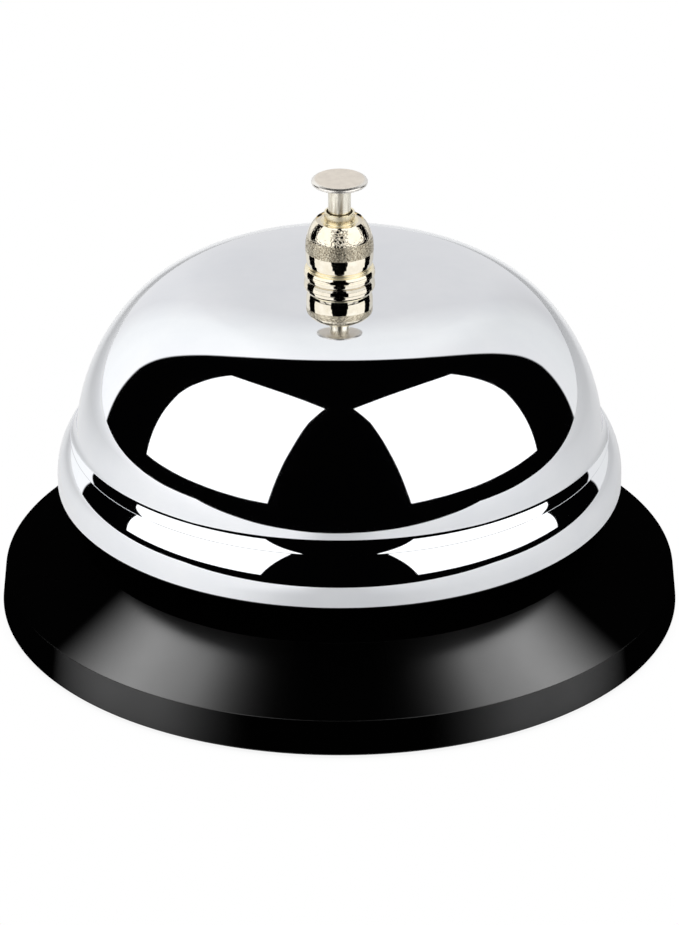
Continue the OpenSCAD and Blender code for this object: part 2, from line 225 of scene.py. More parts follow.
def drill(x, y, radius, low, high):
    bm = bmesh.new()
    bmesh.ops.create_cone(bm, cap_ends=True, segments=64, radius1=radius * MM,
                          radius2=radius * MM, depth=(high - low) * MM)
    centre = (x * MM, y * MM, (low + high) / 2 * MM + RIM_Z)
    bmesh.ops.translate(bm, verts=bm.verts, vec=centre)
    return finish_mesh(bm, "drill")


def cut(piece, tools):
    """Takes each tool out of the piece, and deletes the tool."""
    for tool in tools:
        modifier = piece.modifiers.new("cut", "BOOLEAN")
        modifier.operation = "DIFFERENCE"
        modifier.solver = "EXACT"
        modifier.object = tool
        bpy.context.view_layer.update()
        graph = bpy.context.evaluated_depsgraph_get()
        mesh = bpy.data.meshes.new_from_object(piece.evaluated_get(graph))
        piece.modifiers.clear()
        old = piece.data
        materials = list(old.materials)
        piece.data = mesh
        mesh.materials.clear()
        for material in materials:
            mesh.materials.append(material)
        bpy.data.meshes.remove(old)
        bpy.data.objects.remove(tool)
    bm = bmesh.new()
    bm.from_mesh(piece.data)
    bmesh.ops.remove_doubles(bm, verts=bm.verts, dist=1e-7)
    smooth_shade(bm)
    bm.to_mesh(piece.data)
    bm.free()


def place(piece, node, body="stand"):
    """Puts a piece into the CAD frame and lets it stand for a CAD node."""
    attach(piece, body)
    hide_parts(node)
    return piece


def turned(name, node, slot, profile, segments, body="stand", holes=()):
    """A lathed piece in one material; holes are (x, y, radius, low, high)."""
    piece = finish_mesh(lathe(profile, segments), name, [MAT[slot]])
    if holes:
        cut(piece, [drill(*hole) for hole in holes])
    return place(piece, node, body)


# ------------------------------------------------------------------ shader nodes
class Nodes:
    """A small writer of shader nodes."""

    def __init__(self, tree, output_kind):
        self.tree = tree
        tree.nodes.clear()
        self.output = self.node(output_kind).inputs[0]

    def node(self, kind, **props):
        made = self.tree.nodes.new("ShaderNode" + kind)
        for key, value in props.items():
            setattr(made, key, value)
        return made

    def put(self, socket, value):
        """Links a socket, or sets a number or an RGB colour."""
        if hasattr(value, "node"):
            self.tree.links.new(value, socket)
        else:
            socket.default_value = (*value, 1) if isinstance(value, tuple) else value

    def math(self, operation, a, b=0.0, c=None, clamp=False):
        made = self.node("Math", operation=operation, use_clamp=clamp)
        self.put(made.inputs[0], a)
        self.put(made.inputs[1], b)
        if c is not None:
            self.put(made.inputs[2], c)
        return made.outputs[0]

    def add(self, a, b):
        return self.math("ADD", a, b)

    def multiply(self, a, b):
        return self.math("MULTIPLY", a, b)

    def remap(self, value, span=(0.3, 0.7), to=(0.0, 1.0), smooth=False):
        """Maps the input span on to the output span `to`."""
        made = self.node("MapRange", interpolation_type="SMOOTHSTEP" if smooth else "LINEAR")
        self.put(made.inputs["Value"], value)
        for key, number in zip(("From Min", "From Max", "To Min", "To Max"), (*span, *to)):
            made.inputs[key].default_value = number
        return made.outputs[0]

    def mix(self, factor, a, b):
        made = self.node("Mix", data_type="RGBA")
        for i, value in ((0, factor), (6, a), (7, b)):
            self.put(made.inputs[i], value)
        return made.outputs[2]

    def xyz(self, vector):
        made = self.node("SeparateXYZ")
        self.put(made.inputs[0], vector)
        return made.outputs

    def emission(self, strength):
        made = self.node("Emission")
        self.put(made.inputs["Strength"], strength)
        return made.outputs[0]

    def add_shaders(self, a, b):
        made = self.node("AddShader")
        self.put(made.inputs[0], a)
        self.put(made.inputs[1], b)
        return made.outputs[0]


class Material(Nodes):
    def __init__(self, name):
        self.material = bpy.data.materials.new(name)
        self.material.use_nodes = True
        super().__init__(self.material.node_tree, "OutputMaterial")


class Surface(Material):
    """A principled material with textures in object space; their scales are per millimetre."""

    def __init__(self, name):
        super().__init__(name)
        self.bsdf = self.node("BsdfPrincipled")
        self.put(self.output, self.bsdf.outputs[0])
        self.position = self.node("TexCoord").outputs["Object"]

    def set(self, name, value):
        self.put(self.bsdf.inputs[name], value)

    def shade(self, color, roughness, normal, metallic=1.0):
        self.set("Base Color", color)
        self.set("Metallic", metallic)
        self.set("Roughness", roughness)
        self.set("Normal", normal)
        return self.material

    def texture(self, kind, scale, stretch=(1, 1, 1), **props):
        mapping = self.node("Mapping")
        self.put(mapping.inputs["Vector"], self.position)
        mapping.inputs["Scale"].default_value = tuple(1000 * c for c in stretch)
        made = self.node("Tex" + kind, **props)
        self.put(made.inputs["Vector"], mapping.outputs[0])
        made.inputs["Scale"].default_value = scale
        return made

    def noise(self, scale=1.0, detail=3, rough=0.6, stretch=(1, 1, 1)):
        made = self.texture("Noise", scale, stretch)
        made.inputs["Detail"].default_value = detail
        made.inputs["Roughness"].default_value = rough
        return made.outputs["Fac"]

    def specks(self, scale, size, above, smooth=False):
        """Round specks in the cells whose random value is over `above`."""
        cells = self.texture("Voronoi", scale)
        spot = self.remap(cells.outputs["Distance"], (0.0, size), (1.0, 0.0), smooth)
        return self.multiply(spot, self.math("GREATER_THAN", cells.outputs["Color"], above))

    def bump(self, height, strength, depth, normal=None):
        """depth is in millimetres."""
        made = self.node("Bump")
        self.put(made.inputs["Height"], height)
        made.inputs["Strength"].default_value = strength
        made.inputs["Distance"].default_value = depth * MM
        if normal is not None:
            self.put(made.inputs["Normal"], normal)
        return made.outputs[0]

    def edges(self, radius):
        """A mask, 0 on flats and 1 along edges, and the normal rounded over radius mm."""
        bevel = self.node("Bevel", samples=6)
        bevel.inputs["Radius"].default_value = radius * MM
        dot = self.node("VectorMath", operation="DOT_PRODUCT")
        self.put(dot.inputs[0], bevel.outputs[0])
        self.put(dot.inputs[1], self.node("NewGeometry").outputs["Normal"])
        return self.remap(dot.outputs["Value"], span=(1.0, 0.86)), bevel.outputs[0]


# ------------------------------------------------------------------ materials
def metal(name, color, rough, grain=None, tint=0.06, edge_shine=0.36, marks=0.5):
    """Worked metal: cloudy tone and gloss, a grain along the working, and a painted highlight that
    lightens the colour along the edges.

    grain stretches the texture by axis, tint sets how dark the clouds are, edge_shine how strong
    the painted edge highlight is, marks how rough the fine texture is.
    """
    m = Surface(name)
    # The edge mask carries a painted highlight: the colour is lightened along every edge
    edge_highlight, normal = m.edges(radius=0.08)
    cloud = m.noise(scale=0.35, detail=5)
    fine = m.noise(scale=6.0)
    dark = tuple(c * (1 - 2.2 * tint) for c in color)
    bright = tuple(min(1, c * 1.25 + 0.05) for c in color)
    base = m.mix(m.remap(cloud, span=(0.35, 0.68)), dark, color)
    # Painted highlight: the colour goes towards the bright tone along the edges
    base = m.mix(m.math("MULTIPLY", edge_highlight, edge_shine, clamp=True), base, bright)
    smudges = m.noise(scale=0.9, detail=6, rough=0.65)
    gloss = m.remap(smudges, span=(0.3, 0.72), to=(rough * 0.88, rough * 1.24))
    gloss = m.add(gloss, m.remap(fine, to=(-0.02 * marks, 0.03 * marks)))
    if grain:
        lines = m.noise(rough=0.7, stretch=grain)
        normal = m.bump(lines, strength=0.10 * marks + 0.05, depth=0.02, normal=normal)
    normal = m.bump(fine, strength=0.05 * marks, depth=0.02, normal=normal)
    return m.shade(base, gloss, normal)


def chrome_dome():
    """Mirror plate with faint polishing haze, a slight roll in the sheet and a few pits."""
    m = Surface("polished_chrome")
    haze = m.noise(scale=0.12, detail=5)
    wipe = m.noise(detail=5, rough=0.7, stretch=(0.25, 0.25, 1.6))
    color = m.mix(m.remap(haze), (0.785, 0.80, 0.825), (0.83, 0.84, 0.855))
    gloss = m.add(m.remap(haze, span=(0.35, 0.75), to=(0.018, 0.035)),
                  m.remap(wipe, span=(0.55, 0.8), to=(0.0, 0.025)))
    pits = m.specks(scale=0.42, size=0.085, above=0.90, smooth=True)
    pit_roughness = 0.2
    roll = m.bump(m.noise(scale=0.10, detail=2, rough=0.4), strength=0.06, depth=0.35)
    pitted = m.bump(m.math("SUBTRACT", 1.0, pits), strength=0.5, depth=0.03, normal=roll)
    fine = m.noise(scale=14, detail=2, rough=0.5)
    return m.shade(color, m.add(gloss, m.multiply(pits, pit_roughness)),
                   m.bump(fine, strength=0.012, depth=0.01, normal=pitted))


def dull_inside():
    """Unpolished inside of the dome: plated but matt, with drawing rings and stains."""
    m = Surface("dome_inside")
    stains = m.noise(scale=0.15, detail=6, rough=0.65)
    rings = m.noise(rough=0.7, stretch=(0.05, 0.05, 5.0))
    return m.shade(m.mix(m.remap(stains), (0.30, 0.29, 0.27), (0.44, 0.43, 0.41)),
                   m.remap(m.noise(scale=0.6, detail=5), to=(0.34, 0.52)),
                   m.bump(rings, strength=0.25, depth=0.03))


def black_enamel():
    """Stoved black enamel: a broad, soft gloss, faint orange peel and dust."""
    m = Surface("black_enamel")
    peel = m.noise(scale=0.8, rough=0.5)
    dust = m.specks(scale=1.4, size=0.06, above=0.93)
    dust_tone, dust_roughness = 0.35, 0.1
    color = m.mix(m.multiply(dust, dust_tone), (0.0005, 0.0005, 0.0005), (0.02, 0.02, 0.02))
    gloss = m.add(m.remap(m.noise(scale=0.25, detail=5), to=(0.235, 0.255)),
                  m.multiply(dust, dust_roughness))
    # It shines where it mirrors the lamps or the desk in front, and is dead black elsewhere.
    # Each line fades the shine over a span of the reflection's y or z.
    mirrored = m.xyz(m.node("TexCoord").outputs["Reflection"])
    y, z = mirrored["Y"], mirrored["Z"]
    lamps = m.multiply(m.remap(y, span=(0.52, 0.24), to=(0.0, 0.5), smooth=True),
                       m.remap(z, span=(-0.04, 0.08), smooth=True))
    lamps = m.multiply(lamps, m.remap(z, span=(0.998, 0.905), smooth=True))
    desk_shine = m.multiply(m.remap(y, span=(-0.84, -0.40), smooth=True),
                            m.remap(y, span=(0.35, -0.15), smooth=True))
    desk_shine = m.multiply(desk_shine,
                            m.remap(z, span=(-0.03, -0.12), to=(0.0, 0.75), smooth=True))
    m.set("Specular IOR Level", m.add(lamps, desk_shine))
    m.set("IOR", 1.5)
    return m.shade(color, gloss, m.bump(peel, strength=0.012, depth=0.05), metallic=0.0)


def black_plate():
    """Plain semi-matt black paint."""
    m = Surface("black_plate")
    color, rough, spread = (0.03, 0.03, 0.033), 0.42, 0.06
    darker, lighter = (tuple(c * k for c in color) for k in (0.8, 1.25))
    gloss = m.remap(m.noise(scale=1.5, detail=4), to=(rough - spread, rough + spread))
    return m.shade(m.mix(m.remap(m.noise(scale=0.2, detail=5)), darker, lighter), gloss,
                   m.bump(m.noise(scale=3.0, detail=4), strength=0.12, depth=0.05),
                   metallic=0.0)


def rubber():
    m = Surface("foot_rubber")
    cloud = m.noise(scale=1.2, detail=5, rough=0.7)
    return m.shade(m.mix(cloud, (0.018, 0.018, 0.019), (0.035, 0.035, 0.034)),
                   m.remap(m.noise(scale=2.0, detail=4), to=(0.62, 0.8)),
                   m.bump(m.noise(scale=9.0), strength=0.35, depth=0.04), metallic=0.0)


def fibre():
    m = Surface("red_fibre")
    strands = m.noise(detail=6, rough=0.75, stretch=(3, 3, 12))
    return m.shade(m.mix(m.remap(strands), (0.20, 0.045, 0.028), (0.38, 0.10, 0.055)),
                   roughness=0.78, normal=m.bump(strands, strength=0.4, depth=0.04),
                   metallic=0.0)


# Finishes of the warm nickel: darkest tone, lightest tone, range of roughness
NICKEL_TONES = ((0.74, 0.665, 0.52), (0.83, 0.77, 0.65))
FINISHES = {
    "mirror": (*NICKEL_TONES, (0.035, 0.075)),
    "matt": ((0.34, 0.28, 0.19), (0.92, 0.84, 0.66), (0.14, 0.28)),
    "satin": ((0.90, 0.80, 0.56), (0.99, 0.92, 0.72), (0.26, 0.36)),
    "crazed": (*NICKEL_TONES, (0.04, 0.09)),
}


def front_crackle(m):
    """Crackle lines, strongest in a narrow strip at the front."""
    at = m.xyz(m.position)
    strip = m.remap(m.math("ABSOLUTE", at["X"]), span=(0.6 * MM, 1.15 * MM), to=(1.0, 0.06),
                    smooth=True)
    strip = m.multiply(strip, m.remap(at["Y"], span=(-1.0 * MM, 0.5 * MM), to=(1.0, 0.1),
                                      smooth=True))
    cells = m.texture("Voronoi", scale=2.3, feature="DISTANCE_TO_EDGE")
    lines = m.remap(cells.outputs["Distance"], span=(0.0, 0.16), smooth=True)
    return m.multiply(lines, strip)


def warm_nickel(name, finish):
    m = Surface(name)
    darkest, lightest, roughness = FINISHES[finish]
    if finish == "matt":
        tone = m.remap(m.noise(scale=5.5, rough=0.7), span=(0.38, 0.62))
    else:
        tone = m.remap(m.noise(scale=0.8, detail=4))
    lathe_lines = m.noise(detail=2, stretch=(0.1, 0.1, 14.0))
    normal = m.bump(lathe_lines, strength=0.03, depth=0.01)
    if finish == "matt":
        grains = m.noise(scale=5.5, rough=0.65)
        normal = m.bump(grains, strength=1.0, depth=0.07, normal=normal)
    elif finish == "crazed":
        normal = m.bump(front_crackle(m), strength=1.0, depth=0.10, normal=normal)
    elif finish == "mirror":
        ripple = m.noise(scale=2.2, detail=2, rough=0.5)
        normal = m.bump(ripple, strength=0.03, depth=0.05, normal=normal)
    return m.shade(m.mix(tone, darkest, lightest),
                   m.remap(m.noise(scale=4.0, detail=4), to=roughness), normal)


def satin_button():
    """Satin nickel: faint lathe rings and finger haze on the face, a brighter rolled edge."""
    m = Surface("button_nickel")
    at = m.xyz(m.position)
    squares = m.add(m.multiply(at["X"], at["X"]), m.multiply(at["Y"], at["Y"]))
    rings = m.texture("Wave", scale=1.9, wave_type="RINGS", rings_direction="Z")
    rings.inputs["Distortion"].default_value = 0.6
    edge = m.remap(m.math("SQRT", squares), span=(2.95 * MM, 3.25 * MM), smooth=True)
    haze = m.noise(scale=0.9, detail=5, rough=0.65)
    face = m.mix(m.remap(haze), (0.78, 0.71, 0.62), (0.90, 0.83, 0.73))
    gloss = m.add(m.remap(edge, span=(0, 1), to=(0.36, 0.27)), m.remap(haze, to=(-0.04, 0.06)))
    fine = m.bump(m.noise(scale=7), strength=0.06, depth=0.02)
    return m.shade(m.mix(edge, face, (0.84, 0.81, 0.76)), gloss,
                   m.bump(rings.outputs["Fac"], strength=0.05, depth=0.01, normal=fine))


def satin_rod():
    """Drawn rod, satin, with soft lengthwise streaks round it."""
    m = Surface("rod_nickel")
    streak = m.noise(stretch=(1.15, 1.15, 0.10))
    fine = m.noise(stretch=(4.0, 4.0, 0.25))
    streak_share, fine_share = 0.75, 0.25
    tone = m.add(m.multiply(streak, streak_share), m.multiply(fine, fine_share))
    mask = m.remap(tone, span=(0.41, 0.57), smooth=True)
    return m.shade(m.mix(mask, (0.46, 0.39, 0.28), (0.98, 0.94, 0.82)),
                   m.remap(tone, span=(0.35, 0.65), to=(0.34, 0.24)),
                   m.bump(fine, strength=0.15, depth=0.02))


MAT = {
    "black_enamel": black_enamel(),
    "dome_chrome": chrome_dome(),
    "dome_inside": dull_inside(),
    "warm_nickel": warm_nickel("warm_nickel", "mirror"),
    "stipple": warm_nickel("stippled_nickel", "matt"),
    "satin_gold": warm_nickel("satin_gold", "satin"),
    "crazed": warm_nickel("crazed_nickel", "crazed"),
    "button_nickel": satin_button(),
    "rod_nickel": satin_rod(),
    "black_plate": black_plate(),
    "foot_rubber": rubber(),
    "red_fibre": fibre(),
}
WORKED_METALS = {
    "zinc_steel": dict(color=(0.62, 0.63, 0.65), rough=0.30, grain=(6, 0.5, 0.5), tint=0.08,
                       marks=1.0),
    "rivet_steel": dict(color=(0.58, 0.58, 0.60), rough=0.26, tint=0.08, marks=0.9),
    "turned_steel": dict(color=(0.66, 0.66, 0.68), rough=0.2, grain=(0.3, 0.3, 8), tint=0.05),
    "turned_brass": dict(color=(0.78, 0.57, 0.25), rough=0.2, grain=(0.4, 0.4, 6), tint=0.07),
    "spring_steel": dict(color=(0.25, 0.25, 0.27), rough=0.34, tint=0.1, marks=1.0),
    "spring_wire": dict(color=(0.56, 0.56, 0.58), rough=0.2, grain=(2, 2, 2), edge_shine=0.0),
    "lever_steel": dict(color=(0.55, 0.55, 0.57), rough=0.32, grain=(1.0, 6, 1.0), tint=0.09,
                        marks=1.0),
}
for metal_name, look in WORKED_METALS.items():
    MAT[metal_name] = metal(metal_name, **look)

# ------------------------------------------------------------------ base
# All outlines below are (r, z, corner radius)
run, rise = BAND_R - DECK_R, DECK_Z - BAND_Z
slope = run / rise
shoulder_t = math.hypot(run, rise) / run * BASE_T  # the shoulder's wall, measured upright
under_r = DECK_R - (shoulder_t - BASE_T) * slope
base_outline = rounded([
    (0, DECK_Z + BOSS_H, 0), (BOSS_R, DECK_Z + BOSS_H, 0.3), (BOSS_R, DECK_Z, 0),
    (DECK_R, DECK_Z, 0.25), (BAND_R, BAND_Z, 0.12), (BASE_R, 0, 0.25), (RIM_INNER_R, 0, 0.2),
    (RIM_INNER_R, DECK_Z - shoulder_t - (RIM_INNER_R - DECK_R) / slope, 0.5),
    (under_r, DECK_Z - BASE_T, 0.5), (BOSS_BORE_R, DECK_Z - BASE_T, 0),
    (BOSS_BORE_R, DECK_Z + BOSS_H - BASE_T, 0), (0, DECK_Z + BOSS_H - BASE_T, 0)])
base = turned("base", "base_shell", "black_enamel", dense(base_outline, 1.5), 256,
              holes=[(0, side * DECK_HOLE_Y, DECK_HOLE_R, DECK_Z - 2, DECK_Z + 1)
                     for side in (-1, 1)])

# Closing plate with a raised ring pressed into it
feet_at = [(FOOT_CIRCLE_R * math.cos(math.radians(a)), FOOT_CIRCLE_R * math.sin(math.radians(a)))
           for a in FOOT_ANGLES]
plate_r, bead_h = RIM_INNER_R - 0.02, 0.45
plate_outline = rounded([
    (0, PLATE_HI, 0), (24, PLATE_HI, 1.0), (24.8, PLATE_HI + bead_h, 0.8),
    (26.2, PLATE_HI + bead_h, 0.8), (27, PLATE_HI, 1.0), (plate_r, PLATE_HI, 0.15),
    (plate_r, PLATE_LO, 0.15), (27.6, PLATE_LO, 1.0), (26.6, PLATE_LO + bead_h, 0.8),
    (24.4, PLATE_LO + bead_h, 0.8), (23.4, PLATE_LO, 1.0), (0, PLATE_LO, 0)])
turned("closing_plate", "bottom_plate", "black_plate", dense(plate_outline, 2.0), 192,
       holes=[(x, y, FOOT_HOLE_R, 0, 2) for x, y in feet_at])

# Feet, each pushed through a hole in the plate
foot_profile = dense(rounded([
    (0, -0.25, 0), (1.3, -0.25, 0.1), (1.6, -0.4, 0.08), (3.7, -0.4, 0.2), (4.0, PLATE_LO, 0.1),
    (FOOT_HOLE_R, PLATE_LO, 0), (FOOT_HOLE_R, PLATE_HI, 0), (2.1, PLATE_HI, 0.05),
    (1.2, 2.7, 0.2), (0, 2.7, 0)]), 0.5)
feet_bm = bmesh.new()
for x, y in feet_at:
    foot = lathe(foot_profile, 64)
    bmesh.ops.translate(foot, verts=foot.verts, vec=(x * MM, y * MM, 0))
    foot_mesh = bpy.data.meshes.new("foot")
    foot.to_mesh(foot_mesh)
    foot.free()
    feet_bm.from_mesh(foot_mesh)
    bpy.data.meshes.remove(foot_mesh)
place(finish_mesh(feet_bm, "feet", [MAT["foot_rubber"]]), "rubber_feet")


# ------------------------------------------------------------------ dome
def sin_deg(a):
    return math.sin(math.radians(a))


def cos_deg(a):
    return math.cos(math.radians(a))


def arc(a, depth):
    """The dome's outline at depth below its surface, with its normal a degrees off vertical."""
    r, z = 0.0, DOME_TOP - depth
    for low, high, radius in ARCS:
        w = min(max(a, low), high)
        r += (radius - depth) * (sin_deg(w) - sin_deg(low))
        z -= (radius - depth) * (cos_deg(low) - cos_deg(w))
    return r, z


def flare(a, depth):
    """The hollow flare below the throat."""
    r, z = arc(THROAT, depth)
    return (r + (FLARE_R + depth) * (sin_deg(THROAT) - sin_deg(a)),
            z - (FLARE_R + depth) * (cos_deg(a) - cos_deg(THROAT)))


CREASE_R, CREASE_Z = flare(FLARE_END, 0)
CREASE_R += LEDGE


def roll(a, depth):
    """The rolled lip below the crease."""
    return (CREASE_R + ROLL_R * (sin_deg(a) - sin_deg(ROLL_START)) - depth * sin_deg(a),
            CREASE_Z - ROLL_R * (cos_deg(ROLL_START) - cos_deg(a)) - depth * cos_deg(a))


def skirt(depth, flare_steps=24, roll_steps=36):
    """The flare and the roll, from the throat down."""
    flare_step = (FLARE_END - THROAT) / flare_steps
    roll_step = (90 - ROLL_START) / roll_steps
    return ([flare(THROAT + flare_step * i, depth) for i in range(flare_steps + 1)]
            + [roll(ROLL_START + roll_step * i, depth) for i in range(roll_steps + 1)])


LIP_R, ROLL_END_Z = roll(90, 0)
angles = ([0.8, 1.0, 1.2, 1.5] + [1.5 + i * 0.5 for i in range(1, 98)]
          + [50 + i * 0.75 for i in range(1, 46)])
lip_outer, lip_inner = (LIP_R, LIP_Z), (LIP_R - DOME_T, LIP_Z)
outer = ([(r, SEAT_Z) for r in (HOLE_R, 3.6, 4.4, SEAT_R)]
         + [arc(a, 0) for a in angles] + skirt(0)
         + dense([(LIP_R, ROLL_END_Z), (LIP_R, LIP_Z + 0.4)], 0.3, closed=False)[1:]
         + corner((LIP_R, ROLL_END_Z), lip_outer, lip_inner, 0.35))
inner = (corner(lip_outer, lip_inner, (LIP_R - DOME_T, ROLL_END_Z), 0.3)
         + skirt(DOME_T)[::-1] + [arc(a, DOME_T) for a in angles[::-1]]
         + [(SEAT_R, SEAT_Z - DOME_T), (HOLE_R, SEAT_Z - DOME_T)])
# The matt inside starts part of the way round the lip and ends at the hole
inside_rows = range(len(outer) + 4, len(outer) + len(inner) - 1)
dome_bm = lathe(outer + inner, DOME_SEGMENTS, material_of=lambda row: int(row in inside_rows))
place(finish_mesh(dome_bm, "dome", [MAT["dome_chrome"], MAT["dome_inside"]], sharp=28),
      "bell_dome")

# ------------------------------------------------------------------ cap nut
# Half a superellipse, sampled every half degree
barrel = [(BARREL_R * cos_deg(i * 0.5) ** 0.906, BARREL_Z + BARREL_H * sin_deg(i * 0.5) ** 0.7254)
          for i in range(97)]
nut_foot = rounded([
    (NUT_BORE_R, NUT_Z, 0), (RING_R - 0.05, NUT_Z, 0), (RING_R, NUT_Z + 0.06, 0.045),
    (RING_R - 0.05, NUT_Z + 0.4, 0.3), (RING_R - 0.22, NUT_Z + 0.68, 0.1),
    (BARREL_R - 0.3, NUT_Z + 0.75, 0.07), (BARREL_R - 0.3, NUT_Z + 0.95, 0.1),
    (BARREL_R - 0.16, NUT_Z + 1.3, 0.8), (BARREL_R - 0.04, NUT_Z + 1.85, 0)], 10)
nut_neck = rounded([
    (3.0, NUT_Z + 6.83, 0), (2.55, NUT_Z + 6.9, 0.4), (NECK_R, NUT_Z + 6.8, 0.12),
    (NECK_R, NECK_TOP, 0.09), (ROD_R + 0.22, NECK_TOP, 0.05), (ROD_R + 0.22, NUT_Z + 6.05, 0),
    (NUT_BORE_R, NUT_Z + 5.3, 0)], 10)
nut_profile = dense(nut_foot + barrel + nut_neck, 0.09)


def ramp(value, width):
    """Rises from 0 to 1 over width."""
    return max(0, min(1, value / width))


def stipple(r, a, z):
    """Grain raised on the matt band, and faint crazing on the shoulder above it."""
    if not (r > 3.0 and MATT_LO - 0.1 < z < CRAZE_TOP + 0.1):
        return r, z
    grain_height, craze_depth = 0.030, 0.010
    x, y = r * math.cos(a), r * math.sin(a)
    ragged = 0.08 * noise.noise(Vector((x * 3, y * 3, z)))
    band = ramp(z - MATT_LO + ragged, 0.08) * ramp(MATT_HI - z + ragged, 0.10)
    grain = (noise.noise(Vector((x * 5.0, y * 5.0, z * 5.0)))
             + 0.6 * noise.noise(Vector((x * 10, y * 10, z * 10 + 7))))
    shoulder = ramp(z - MATT_HI, 0.3) * ramp(CRAZE_TOP - z, 0.5)
    crack = abs(noise.noise(Vector((x * 1.6, y * 1.6, z * 1.6 + 3))))
    groove = max(0, 1 - crack * 8)
    return r + grain_height * grain * band - craze_depth * groove * shoulder, z


def nut_material(row):
    """1 matt band, 2 satin line over the flange and satin neck, 3 crazed shoulder, 0 the rest."""
    ends = nut_profile[row], nut_profile[(row + 1) % len(nut_profile)]
    r_low, r_high = sorted(r for r, _ in ends)
    z_low, z_high = sorted(z for _, z in ends)
    if r_low > 3.4 and z_low > MATT_LO - 0.02 and z_high < MATT_HI + 0.02:
        return 1
    if r_low > 3.4 and z_low > NUT_Z + 0.62 and z_high < NUT_Z + 1.0:
        return 2
    if NECK_R - 0.3 < r_low and r_high < 2.4 and z_low > NUT_Z + 6.75:
        return 2
    if r_low > 2.5 and z_low > MATT_HI - 0.02 and z_high < NUT_Z + 6.9:
        return 3
    return 0


nut_bm = lathe(nut_profile, 360, bend=stipple, material_of=nut_material)
nut_finishes = [MAT[key] for key in ("warm_nickel", "stipple", "satin_gold", "crazed")]
place(finish_mesh(nut_bm, "nut", nut_finishes, sharp=40), "cap_nut")

# ------------------------------------------------------------------ washers and spindle
nut_washer_outline = rounded([
    (WASHER_BORE_R, SEAT_Z, 0), (RING_R - 0.25, SEAT_Z, 0.08),
    (RING_R - 0.08, SEAT_Z + 0.3, 0.4), (RING_R, NUT_Z - 0.06, 0.045), (RING_R - 0.05, NUT_Z, 0),
    (WASHER_BORE_R, NUT_Z, 0)], 10)
turned("nut_washer", "top_washer", "warm_nickel", dense(nut_washer_outline, 0.15), 256)

# name, CAD node, material, outer radius, lower face, outer corner radius
for name, node, slot, radius, low, edge_r in (
        ("flat_washer", "steel_washer", "zinc_steel", 4.8, SHOULDER_Z, 0.12),
        ("soft_washer", "fibre_washer", "red_fibre", 4.6, SHOULDER_Z + WASHER_T, 0.1)):
    outline = rounded([
        (WASHER_BORE_R, low, 0.05), (radius, low, edge_r), (radius, low + WASHER_T, edge_r),
        (WASHER_BORE_R, low + WASHER_T, 0.05)])
    turned(name, node, slot, dense(outline, 0.4), 96)


def thread(low, high, radius, pitch, depth):
    """A run of rolled thread crests, as (r, z) points."""
    out, z = [], low
    while z + pitch <= high:
        out += [(radius, z + 0.1 * pitch), (radius, z + 0.25 * pitch),
                (radius - depth, z + 0.6 * pitch), (radius - depth, z + 0.72 * pitch)]
        z += pitch
    return out + [(radius, high)]


spindle_bore, step_z = ROD_R + 0.08, 38.4
spindle_profile = (
    [(spindle_bore, SPINDLE_Z), (2.6, SPINDLE_Z), (2.6, step_z)]
    + corner((2.6, step_z), (SPINDLE_R, step_z), (SPINDLE_R, 42), 0.15)
    + corner((SPINDLE_R, step_z), (SPINDLE_R, SHOULDER_Z), (3, SHOULDER_Z), 0.2)
    + [(THREAD_R, SHOULDER_Z)]
    + thread(low=44.6, high=49.5, radius=THREAD_R, pitch=0.5, depth=0.16)
    + [(2.2, 50.0), (ROD_R + 0.3, 50.0), (spindle_bore, 49.8)])
turned("hollow_spindle", "spindle", "turned_steel", spindle_profile, 128)

# ------------------------------------------------------------------ plunger
rod_outline = rounded([
    (0, ROD_Z, 0), (ROD_R, ROD_Z, 0.3), (ROD_R, CLIP_Z, 0.03), (CLIP_GROOVE_R, CLIP_Z, 0),
    (CLIP_GROOVE_R, CLIP_Z + 0.5, 0), (ROD_R, CLIP_Z + 0.5, 0.03), (ROD_R, BUTTON_Z, 0),
    (STUD_R, BUTTON_Z, 0), (STUD_R, STUD_TOP, 0.05), (0, STUD_TOP, 0)])
turned("rod", "plunger_rod", "rod_nickel", dense(rod_outline, 0.8), 96, body="plunger")

button_outline = rounded([
    (0, BUTTON_TOP, 0), (1.8, BUTTON_TOP - 0.015, 0.5), (BUTTON_R - 0.4, BUTTON_TOP - 0.05, 0.4),
    (BUTTON_R, BUTTON_TOP - 0.28, 0.22), (BUTTON_R, BUTTON_Z + 0.25, 0.12),
    (BUTTON_R - 0.3, BUTTON_Z + 0.08, 0.25), (1.9, BUTTON_Z, 0.4), (STUD_R, BUTTON_Z, 0),
    (STUD_R, STUD_TOP, 0), (0, STUD_TOP, 0)], 10)
turned("button", "plunger_button", "button_nickel", dense(button_outline, 0.2), 192,
       body="plunger")

groove_lo, groove_hi = GROOVE_MID - GROOVE_HALF, GROOVE_MID + GROOVE_HALF
spool_outline = rounded([
    (ROD_R, SPOOL_Z, 0), (SPOOL_R, SPOOL_Z, 0.12), (SPOOL_R, groove_lo, 0.12),
    (GROOVE_R, groove_lo, 0.15), (GROOVE_R, groove_hi, 0.15), (SPOOL_R, groove_hi, 0.12),
    (SPOOL_R, CLIP_Z, 0.12), (ROD_R, CLIP_Z, 0)])
turned("grooved_spool", "spool", "turned_brass", dense(spool_outline, 0.3), 128, body="plunger")

# ------------------------------------------------------------------ return spring
coil_low, coil_high = DECK_Z + WIRE_R + 0.01, SPOOL_Z - WIRE_R - 0.01
turns = OPEN_TURNS + 2


def coil_z(t):
    """Height of the wire's centre after t turns; the first and last turns lie nearly flat."""
    if t <= 1:
        return coil_low + END_RISE * t
    if t >= OPEN_TURNS + 1:
        return coil_high - END_RISE * (turns - t)
    return coil_low + END_RISE + (t - 1) * (coil_high - coil_low - 2 * END_RISE) / OPEN_TURNS


